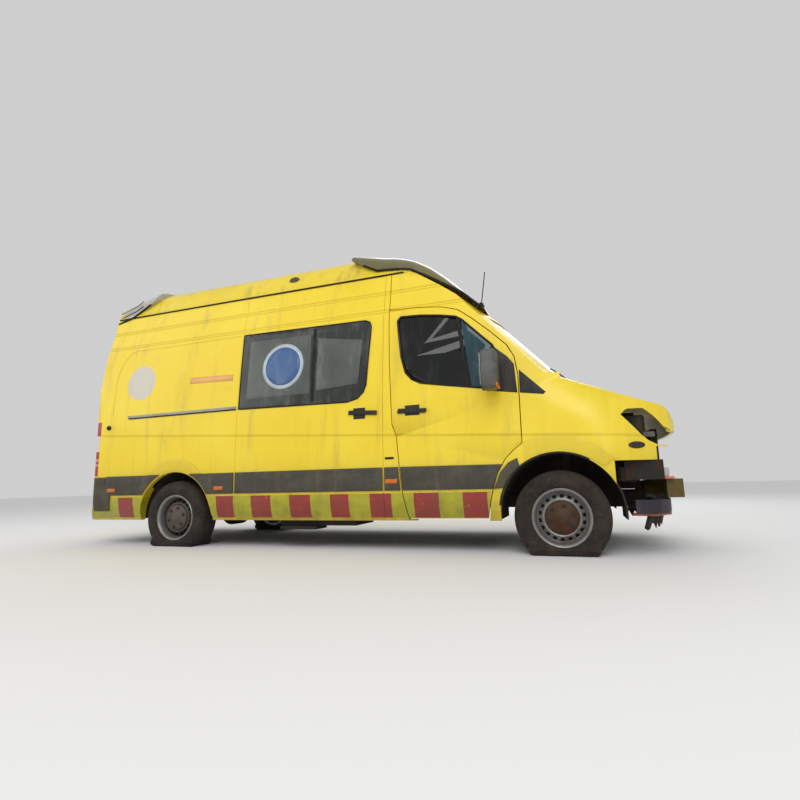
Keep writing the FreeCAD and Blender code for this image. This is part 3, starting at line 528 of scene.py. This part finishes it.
# ------------------------------------------------------------ wheels
for s in (-1, 1):
    for cx, pos in ((AX, "front"), (AX - 3.665, "rear")):
        nm = ("right" if s < 0 else "left") + "_" + pos
        body = nm + "_wheel"
        cy, cz = s * 0.855, 0.275
        rim = nm + "_rim"
        fl = lathe(nm + "_rim_flange", [(.190, -.098), (.2205, -.101), (.2205, -.094), (.204, -.090), (.196, -.070), (.190, -.03), (.190, .05), (.198, .085), (.204, .091), (.212, .093), (.2205, .095),
                   (.2215, .101), (.2160, .105), (.2085, .103), (.2000, .094), (.1930, .080), (.1880, .052), (.184, .036)], cx, cy, cz, s, M_rim, body, 96)
        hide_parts(rim)
        seg = 144
        skip = lambda i, k: i == 2 and (k % 8) in (1, 2, 3, 4)
        disc = lathe(nm + "_rim_disc", [(.186, .040), (.181, .030), (.174, .034), (.150, .050), (.140, .054), (.128, .060)], cx, cy, cz, s, M_rim if pos == "front" else M_rimdark, body, seg, skip)
        md = disc.modifiers.new("t", "SOLIDIFY")
        md.thickness = 0.005
        lathe(nm + "_rim_well", [(.186, .010), (.120, .020), (.05, .020)], cx, cy, cz, s, M_rimdark, body, 72)
        lathe(nm + "_rim_band", [(.148, .052), (.146, .062), (.138, .066), (.127, .062), (.124, .056)], cx, cy, cz, s, M_hubgrey if pos == "rear" else M_rim, body, 72)
        hm = M_hub if pos == "front" else M_hubgrey
        lathe(nm + "_hub_cap", [(.126, .056), (.122, .072), (.110, .080), (.080, .084), (.060, .086), (.052, .092), (.030, .098), (0, .099)], cx, cy, cz, s, hm, body, 72)
        for k in range(6):
            a = 2 * math.pi * k / 6 + 0.3
            lathe("%s_lug_%d" % (nm, k), [(.015, .074), (.015, .089), (.012, .093), (0, .094)], cx + .092 * math.cos(a), cy, cz + .092 * math.sin(a), s, M_rimdark, body, 6)

# ------------------------------------------------------------ sides
def arc(cx, cz, rad, a0, a1, n=14):
    return [(cx + rad * math.cos(math.radians(a0 + (a1 - a0) * i / n)), cz + rad * math.sin(math.radians(a0 + (a1 - a0) * i / n))) for i in range(n + 1)]


for s in (-1, 1):
    q = "right" if s < 0 else "left"
    D = DOOR[s]
    rub = [
        ("rail_rear", [(-4.575, .50), (-4.062, .50)] + [(x, z) for x, z in arc(-3.665, .275, .455, 150.5, 114.5, 8)] + [(-3.86, .696), (-4.575, .696)], VB),
        ("rail_mid", [(-2.952, .50), (-2.952, .696), (-3.47, .696)] + [(x, z) for x, z in arc(-3.665, .275, .455, 65.5, 29.5, 8)], VB),
        ("rail_pillar", [(-1.412, .50), (-1.268, .50), (-1.286, .696), (-1.412, .696)], VB),
        ("rail_door", [(-1.250, .50), (-.502, .50), (-.462, .600), (-.415, .690), (-1.268, .696)], D),
    ]
    if s < 0:
        rub.append(("rail_slide", [(-2.934, .50), (-1.428, .50), (-1.428, .696), (-2.934, .696)], VB))
    else:
        rub.append(("rail_side", [(-2.950, .50), (-1.414, .50), (-1.414, .696), (-2.950, .696)], VB))
    for nm, poly, b in rub:
        patch(q + "_" + nm, poly, s, .0105, .012, M_rail, b, 0.08, 0.004)
        zs = [p[1] for p in poly]
    # painted highlight along the top of the rails: a paler strip where their rounded top edge faces the light
    for nm, x0, x1, b in (("a", -4.57, -3.90, VB), ("b", -3.43, -2.955, VB), ("c", -2.93, -1.43, VB), ("d", -1.262, -.425, D)):
        patch(q + "_rail_top_highlight_" + nm, [(x0, .668), (x1, .668), (x1, .690), (x0, .690)], s, .0112, .004, M_bump, b, 0.1, 0.001)
    patch(q + "_arch_trim", [(-.492, .500)] + arc(0, .310, .462, 155, 128, 6) + [(-.30, .735), (-.372, .700), (-.435, .628)], s, .009, .010, M_bump, VB, 0.05, 0.002)
    for k, (x0, z0) in enumerate(((-4.535, .535), (-3.170, .535), (-1.400, .560))):
        patch("%s_marker_%d" % (q, k), [(x0, z0), (x0 + .105, z0), (x0 + .105, z0 + .036), (x0, z0 + .036)], s, .0150, .006, M_orange, VB, 0.1, 0.003)
    # flares over the wheels
    crF = [(.409, .705), (.32, .782), (.237, .848), (.115, .905), (-.033, .917), (-.166, .898), (-.245, .852)]
    patch(q + "_front_flare", crF + [(-.245, .70)] + arc(0, .310, .462, 122, 58, 12) + [(.33, .650)], s, .007, .012, M_flare, VB, 0.05, 0.003)
    crR = [(-3.332, .698), (-3.40, .762), (-3.484, .819), (-3.58, .848), (-3.686, .855), (-3.78, .845), (-3.859, .812), (-3.95, .745), (-4.015, .698)]
    patch(q + "_rear_flare", crR + arc(-3.665, .275, .458, 113, 67, 12), s, .007, .012, M_flare, VB, 0.05, 0.003)
    tube(q + "_front_arch_lip", on_side(arc(0, .310, .456, 172, 60, 30), s, -.004), .009, M_blk, VB)
    tube(q + "_rear_arch_lip", on_side(arc(-3.665, .275, .453, 178, 2, 36), s, -.004), .009, M_flare, VB)
    # glazing
    WS = [(-2.925, 2.062), (-1.60, 2.042), (-1.556, 2.022), (-1.540, 1.98), (-1.543, 1.92), (-1.580, 1.43), (-1.605, 1.365), (-1.66, 1.312), (-1.76, 1.286), (-2.925, 1.302)]
    patch(q + "_side_window", WS, s, .004, .006, M_win, VB, 0.08, 0.002)
    patch(q + "_side_window_left_pane", [(-2.84, 1.985), (-2.16, 1.975), (-2.15, 1.40), (-2.84, 1.395)], s, .0055, .003, M_frost, VB, 0.08, 0.001)
    patch(q + "_side_window_right_pane", [(-2.08, 1.93), (-1.625, 1.86), (-1.66, 1.45), (-2.08, 1.42)], s, .0055, .003, M_frost, VB, 0.08, 0.001)
    patch(q + "_window_bar", [(-2.135, 2.03), (-2.10, 2.03), (-2.10, 1.32), (-2.135, 1.32)], s, .0065, .005, M_rub, VB, 0.08, 0.001)
    patch(q + "_window_ring", arc(-2.45, 1.69, .225, 0, 350, 35), s, .0070, .003, M_ring, VB, 0.06, 0)
    patch(q + "_window_disc", arc(-2.45, 1.69, .190, 0, 350, 35), s, .0082, .003, M_blue, VB, 0.06, 0)
    tube(q + "_window_seal", on_side(dense(WS), s, .003), .006, M_rub, VB, True)
    WF = [(-1.285, 1.993), (-1.255, 2.030), (-1.068, 2.020), (-.882, 1.993), (-.755, 1.965), (-.700, 1.928), (-.565, 1.787), (-.455, 1.676), (-.430, 1.630),
          (-.547, 1.312), (-.648, 1.330), (-.855, 1.364), (-1.070, 1.401), (-1.150, 1.440), (-1.208, 1.505), (-1.248, 1.653), (-1.272, 1.855)]
    tube(q + "_door_window_seal", on_side(dense(WF), s, .000), .009, M_rub, D, True)
    patch(q + "_door_window_post", [(-.755, 1.965), (-.722, 1.945), (-.640, 1.325), (-.672, 1.330)], s, .001, .010, M_rub, D, 0.08, 0.001)
    patch(q + "_quarter_pane", [(-.712, 1.935), (-.565, 1.787), (-.460, 1.676), (-.555, 1.318), (-.632, 1.330)], s, -.001, .005, M_teal, D, 0.08, 0.001)
    patch(q + "_mirror_sail", [(-.460, 1.672), (-.335, 1.560), (-.283, 1.49), (-.266, 1.25), (-.545, 1.292)], s, .004, .008, M_blk, D, 0.06, 0.003)
    patch(q + "_wing_sail", [(-.248, 1.44), (-.05, 1.238), (-.07, 1.222), (-.248, 1.248)], s, .003, .008, M_blk, VB, 0.06, 0.002)
    # handles
    patch(q + "_door_handle_cup", [(-1.215, 1.125), (-1.085, 1.125), (-1.085, 1.215), (-1.215, 1.215)], s, .0015, .004, M_blk, D, 0.05, 0.002)
    patch(q + "_door_handle", [(-1.285, 1.148), (-1.03, 1.140), (-1.02, 1.178), (-1.275, 1.190)], s, .018, .014, M_blk, D, 0.05, 0.006)
    if s < 0:
        patch("slide_handle_cup", [(-1.70, 1.125), (-1.585, 1.125), (-1.585, 1.225), (-1.70, 1.225)], s, .0015, .004, M_blk, VB, 0.05, 0.002)
        patch("slide_handle", [(-1.745, 1.168), (-1.47, 1.152), (-1.47, 1.190), (-1.74, 1.206)], s, .018, .014, M_blk, VB, 0.05, 0.006)
        patch("slide_track", [(-4.335, 1.300), (-2.955, 1.305), (-2.955, 1.335), (-4.335, 1.330)], s, .006, .008, M_alu, VB, 0.08, 0.002)
        patch("slide_track_slot", [(-4.32, 1.292), (-2.955, 1.297), (-2.955, 1.309), (-4.32, 1.304)], s, .0075, .006, M_rub, VB, 0.08, 0.001)
        patch("door_stop", arc(-4.585, 1.215, .024, 0, 330, 11), s, .018, .018, M_rub, VB, 0.05, 0.003)
        patch("fuel_slot", [(-1.405, .762), (-1.325, .762), (-1.325, .782), (-1.405, .782)], s, .002, .004, M_rub, VB, 0.05, 0.001)
    patch(q + "_pink_bar", [(-3.55, 1.615), (-3.02, 1.600), (-3.02, 1.665), (-3.55, 1.680)], s, .0008, .002, M_pinkbar, VB, 0.08, 0)
    groove = [(-4.556, 1.340), (-4.566, 1.73), (-4.535, 1.86), (-4.50, 1.935), (-4.427, 2.021), (-4.33, 2.058), (-3.861, 2.056), (-2.960, 2.063)]
    tube(q + "_swage", on_side(dense(groove, 0.05, False), s, -.001), .005, M_flare, VB)
    # gutter under the fairing
    gut = [(-4.72, 2.487), (-3.0, 2.492), (-1.25, 2.492)]
    tube(q + "_gutter", [(x + AX, s * .818, z) for x, z in dense(gut, .2, False)], .008, M_rub, VB)
    # rear bumper corner, lamp on the wing
    patch(q + "_bumper_corner", [(-4.745, .34), (-4.52, .34), (-4.495, .52), (-4.570, .545), (-4.590, .690), (-4.745, .690)], s, .010, .012, M_bump, VB, 0.04, 0.004)
    patch(q + "_wing_lamp", [(0.565 + .058 * math.cos(a), .800 + .026 * math.sin(a)) for a in [2 * math.pi * k / 20 for k in range(20)]], s, .006, .008, M_blk, VB, 0.03, 0.003)
    # fairing marker lamp
    bm = bmesh.new()
    bmesh.ops.create_uvsphere(bm, u_segments=24, v_segments=12, radius=1)
    for v in bm.verts:
        v.co = Vector((v.co.x * .058 + AX - 2.43, s * (.788 + v.co.y * .014 * -1), v.co.z * .034 + 2.615))
    me = bpy.data.meshes.new(q + "_fairing_lamp")
    bm.to_mesh(me)
    bm.free()
    link(q + "_fairing_lamp", me, M_bump, VB, True)
    # mirror
    y0, y1 = (1.03, 1.225)
    ya, yb = sorted((s * y0, s * y1))
    hs = rbox(q + "_mirror_housing", (AX - .515, ya, 1.265), (AX - .39, yb, 1.578), M_grey, D, .035, 5)
    ya, yb = sorted((s * .955, s * 1.06))
    arm = rbox(q + "_mirror_arm", (AX - .475, ya, 1.300), (AX - .415, yb, 1.345), M_blk, D, .012, 3)
    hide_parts("mirror_" + q)
    ya, yb = sorted((s * 1.05, s * 1.21))
    # mirror glass in the windscreen material: its pale colour is a painted reflection
    rbox(q + "_mirror_glass", (AX - .520, ya, 1.30), (AX - .511, yb, 1.55), M_screen_painted_reflection, D, .004, 2)
    rbox(q + "_mirror_blinker", (AX - .400, ya, 1.275), (AX - .386, yb, 1.305), M_orange, D, .005, 2)

# ------------------------------------------------------------ beacons
CAP = [(.822, 2.492), (.813, 2.540), (.790, 2.605), (.742, 2.685), (.662, 2.748), (.550, 2.786), (.300, 2.820), (0, 2.830)]


def dome(name, stations, mat, node):
    """stations: (x, base height, top height); the section is the roof's own, squeezed to fit"""
    bm = bmesh.new()
    rows = []
    for x, zb, zt in stations:
        row = []
        half = []
        for y, z in CAP:
            t = (z - 2.492) / (2.830 - 2.492)
            half.append((y, zb + (zt - zb) * t))
        sec = [(-y, z) for y, z in half] + [(y, z) for y, z in reversed(half[:-1])]
        for y, z in sec:
            row.append(bm.verts.new((x + AX, y, z)))
        rows.append(row)
    for a, b in zip(rows, rows[1:]):
        for k in range(len(a) - 1):
            bm.faces.new([a[k], a[k + 1], b[k + 1], b[k]])
        bm.faces.new([a[-1], a[0], b[0], b[-1]])
    bm.faces.new(rows[0])
    bm.faces.new(list(reversed(rows[-1])))
    bmesh.ops.recalc_face_normals(bm, faces=bm.faces)
    me = bpy.data.meshes.new(name)
    bm.to_mesh(me)
    bm.free()
    o = link(name, me, mat, VB, True)
    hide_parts(node)
    return o


GF = [(-1.780, 2.70), (-1.650, 2.621), (-1.514, 2.550), (-1.400, 2.540), (-1.257, 2.524), (-1.178, 2.504), (-.985, 2.392), (-.709, 2.212), (-.578, 2.085), (-.52, 2.05)]
CS = [(-1.80, 2.830), (-1.560, 2.815), (-1.344, 2.768), (-1.188, 2.706), (-1.036, 2.612), (-.891, 2.482), (-.750, 2.328), (-.624, 2.166), (-.520, 2.062)]
xs = list(np.linspace(-1.775, -.525, 26))
st = [(x, float(np.interp(x, [p[0] for p in GF], [p[1] for p in GF])), max(float(np.interp(x, [p[0] for p in CS], [p[1] for p in CS])), float(np.interp(x, [p[0] for p in GF], [p[1] for p in GF])) + .006)) for x in xs]
dome("front_beacon_dome", st, M_dome, "front_beacon_bar")
xs = list(np.linspace(-4.742, -4.19, 12))
st = [(x, float(np.interp(x, [-4.75, -4.728, -4.512, -4.272, -4.187], [2.432, 2.434, 2.489, 2.614, 2.673])), float(np.interp(x, [-4.745, -4.725, -4.68, -4.56, -4.19], [2.66, 2.73, 2.775, 2.812, 2.826]))) for x in xs]
dome("rear_beacon_lens", st, M_rearlens, "rear_beacon_bar")
for s in (-1, 1):
    q = "right" if s < 0 else "left"
    tube(q + "_dome_gasket", [(x + AX, s * .823, z) for x, z in GF[1:]], .011, M_rub, VB)
    tube(q + "_lens_gasket", [(x + AX, s * .823, z) for x, z in ((-4.728, 2.442), (-4.512, 2.492), (-4.272, 2.614))], .010, M_rub, VB)
    for k, dz in enumerate((.07, .13)):
        tube("%s_lens_line_%d" % (q, k), [(x + AX, s * (.815 - dz * .12), z) for x, z in ((-4.728, 2.438 + dz), (-4.50, 2.498 + dz), (-4.40, 2.548 + dz))], .004, M_rub, VB)

# aerial above the windscreen
tube("aerial_base", [(AX - .590, -.60, 2.135), (AX - .575, -.60, 2.165)], .020, M_rub, VB)
tube("aerial_whip", [(AX - .580, -.60, 2.15), (AX - .535, -.60, 2.46)], .0045, M_rub, VB)

# wipers
for k, (y0, y1) in enumerate(((.55, -.05), (-.10, -.70))):
    def ws(y, h):
        return (AX + .012 + .160 * (1 - (y / .85) ** 2) - h * .9375, y, 1.39 + h)
    tube("wiper_arm_%d" % k, [ws(y0, .02), ws((y0 + y1) / 2, .06)], .007, M_rub, VB)
    tube("wiper_blade_%d" % k, [ws(y0 + (y1 - y0) * t, .045 + .04 * t) for t in [i / 8 for i in range(9)]], .006, M_rub, VB)

# ------------------------------------------------------------ stripped front end
rng = np.random.default_rng(7)
for s in (-1, 1):
    q = "right" if s < 0 else "left"
    ya, yb = sorted((s * .60, s * .84))
    rbox(q + "_bracket_low", (AX + .44, ya, .535), (AX + .55, ya + .012, .640), M_steel, VB, .003, 1)
    tube(q + "_bracket_frame", [(AX + .43, s * .84, .545), (AX + .54, s * .84, .535), (AX + .54, s * .84, .64), (AX + .43, s * .84, .64)], .008, M_steel, VB, True, 1)
    rbox(q + "_lamp_remains", (AX + .64, ya, .565), (AX + .77, yb, .63), M_rearlens, VB, .012, 2)
    rbox(q + "_pink_piece", (AX + .64, ya, .548), (AX + .80, yb, .566), M_pink, VB, .004, 1)
    rbox(q + "_lamp_bracket", (AX + .60, ya, .86), (AX + .70, ya + .02, .90), M_grey, VB, .004, 1)
    # dark box filling the empty headlamp opening: painted shade of the hollow behind it
    rbox(q + "_lamp_opening_shade", (AX + .46, min(ya, yb), .79), (AX + .64, max(ya, yb) - .06, 1.03), M_dark, VB, .02, 2)
pts = [(AX + .50, -.80, .292), (AX + .66, -.78, .288), (AX + .78, -.60, .288), (AX + .80, 0, .288), (AX + .78, .60, .288), (AX + .66, .78, .288)]
tube("low_pink_strip", pts, .012, M_pink, VB)
# torn undertray hanging under the nose
bm = bmesh.new()
n = 40
top, bot = [], []
for i in range(n + 1):
    t = -1 + 2 * i / n
    x = AX + .80 - .20 * abs(t) ** 2.4
    top.append(bm.verts.new((x, t * .80, .285)))
    bot.append(bm.verts.new((x - .03, t * .80, .235 - .07 * float(rng.random()))))
for i in range(n):
    bm.faces.new([top[i], top[i + 1], bot[i + 1], bot[i]])
me = bpy.data.meshes.new("torn_undertray")
bm.to_mesh(me)
bm.free()
o = link("torn_undertray", me, M_dark, VB, True)
sd = o.modifiers.new("t", "SOLIDIFY")
sd.thickness = .004

# ------------------------------------------------------------ cab seats: crowned pads with a sewn channel, on a plain base
def pad(name, cx, cy, cz, lx, ly, lz, tilt, mat, crown=0.16, n=14):
    """A stuffed pad: thick in the middle, pulled in between its corners, two sewn channels along its face."""
    bm = bmesh.new()
    bmesh.ops.create_cube(bm, size=2)
    bmesh.ops.subdivide_edges(bm, edges=list(bm.edges), cuts=n, use_grid_fill=True)
    ct, st_ = math.cos(tilt), math.sin(tilt)
    for v in bm.verts:
        a, b, c = v.co
        k = 1 - crown * (a * a + b * b) / 2
        pull = 1 - 0.05 * (1 - c * c)
        q4 = (abs(a) ** 6 + abs(b) ** 6 + abs(c) ** 6) ** (1 / 6)
        a, b, c = a / q4 * pull, b / q4 * pull, c / q4 * k
        c *= 1 - 0.10 * math.exp(-((abs(b) - 0.52) / 0.05) ** 2)
        x, y, z = a * lx / 2, b * ly / 2, c * lz / 2
        v.co = Vector((cx + x * ct + z * st_, cy + y, cz - x * st_ + z * ct))
    me = bpy.data.meshes.new(name)
    bm.to_mesh(me)
    bm.free()
    o = link(name, me, mat, VB, True)
    return o


for s in (-1, 1):
    q = "right" if s < 0 else "left"
    base = rbox(q + "_seat_base", (AX - 1.33, min(s * .24, s * .64), .585), (AX - .82, max(s * .24, s * .64), .852), M_dark, VB, .018, 3)
    if s < 0:
        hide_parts("cab_seats")
    pad(q + "_seat_cushion", AX - 1.085, s * .44, .918, .55, .475, .125, -.07, M_seat)
    pad(q + "_seat_back", AX - 1.385, s * .44, 1.225, .095, .445, .535, -.145, M_seat, .05)
    pad(q + "_head_rest", AX - 1.447, s * .44, 1.628, .075, .255, .215, -.08, M_seat, .05)
    for k in (-.06, .06):
        tube("%s_rest_post_%s" % (q, "a" if k < 0 else "b"), [(AX - 1.425, s * .44 + k, 1.47), (AX - 1.435, s * .44 + k, 1.54)], .007, M_alu, VB)

# ------------------------------------------------------------ stage and light
me = bpy.data.meshes.new("floor")
me.from_pydata([(-40, -40, 0), (40, -40, 0), (40, 40, 0), (-40, 40, 0)], [], [(0, 1, 2, 3)])
fl = bpy.data.objects.new("floor", me)
bpy.context.scene.collection.objects.link(fl)
g = G("studio_floor")
me.materials.append(g.out(g.mix(g.noise(0.4, 3), (.80, .80, .80, 1), (.84, .84, .84, 1)), .85))
w = bpy.data.worlds.new("studio")
bpy.context.scene.world = w
w.use_nodes = True
w.node_tree.nodes["Background"].inputs[0].default_value = (1, 1, 1, 1)
w.node_tree.nodes["Background"].inputs[1].default_value = 0.62
for nm, loc, size, power in (("key", (3.0, -9.0, 7.5), 6.0, 420), ("fill", (-7.0, -6.0, 5.0), 6.0, 120), ("back", (0, 8, 7), 7.0, 300)):
    ld = bpy.data.lights.new(nm, "AREA")
    ld.size = size
    ld.energy = power
    lo_ = bpy.data.objects.new(nm, ld)
    lo_.location = loc
    lo_.rotation_mode = "QUATERNION"
    lo_.rotation_quaternion = (Vector((0, 0, 1.2)) - Vector(loc)).to_track_quat("-Z", "Y")
    bpy.context.scene.collection.objects.link(lo_)
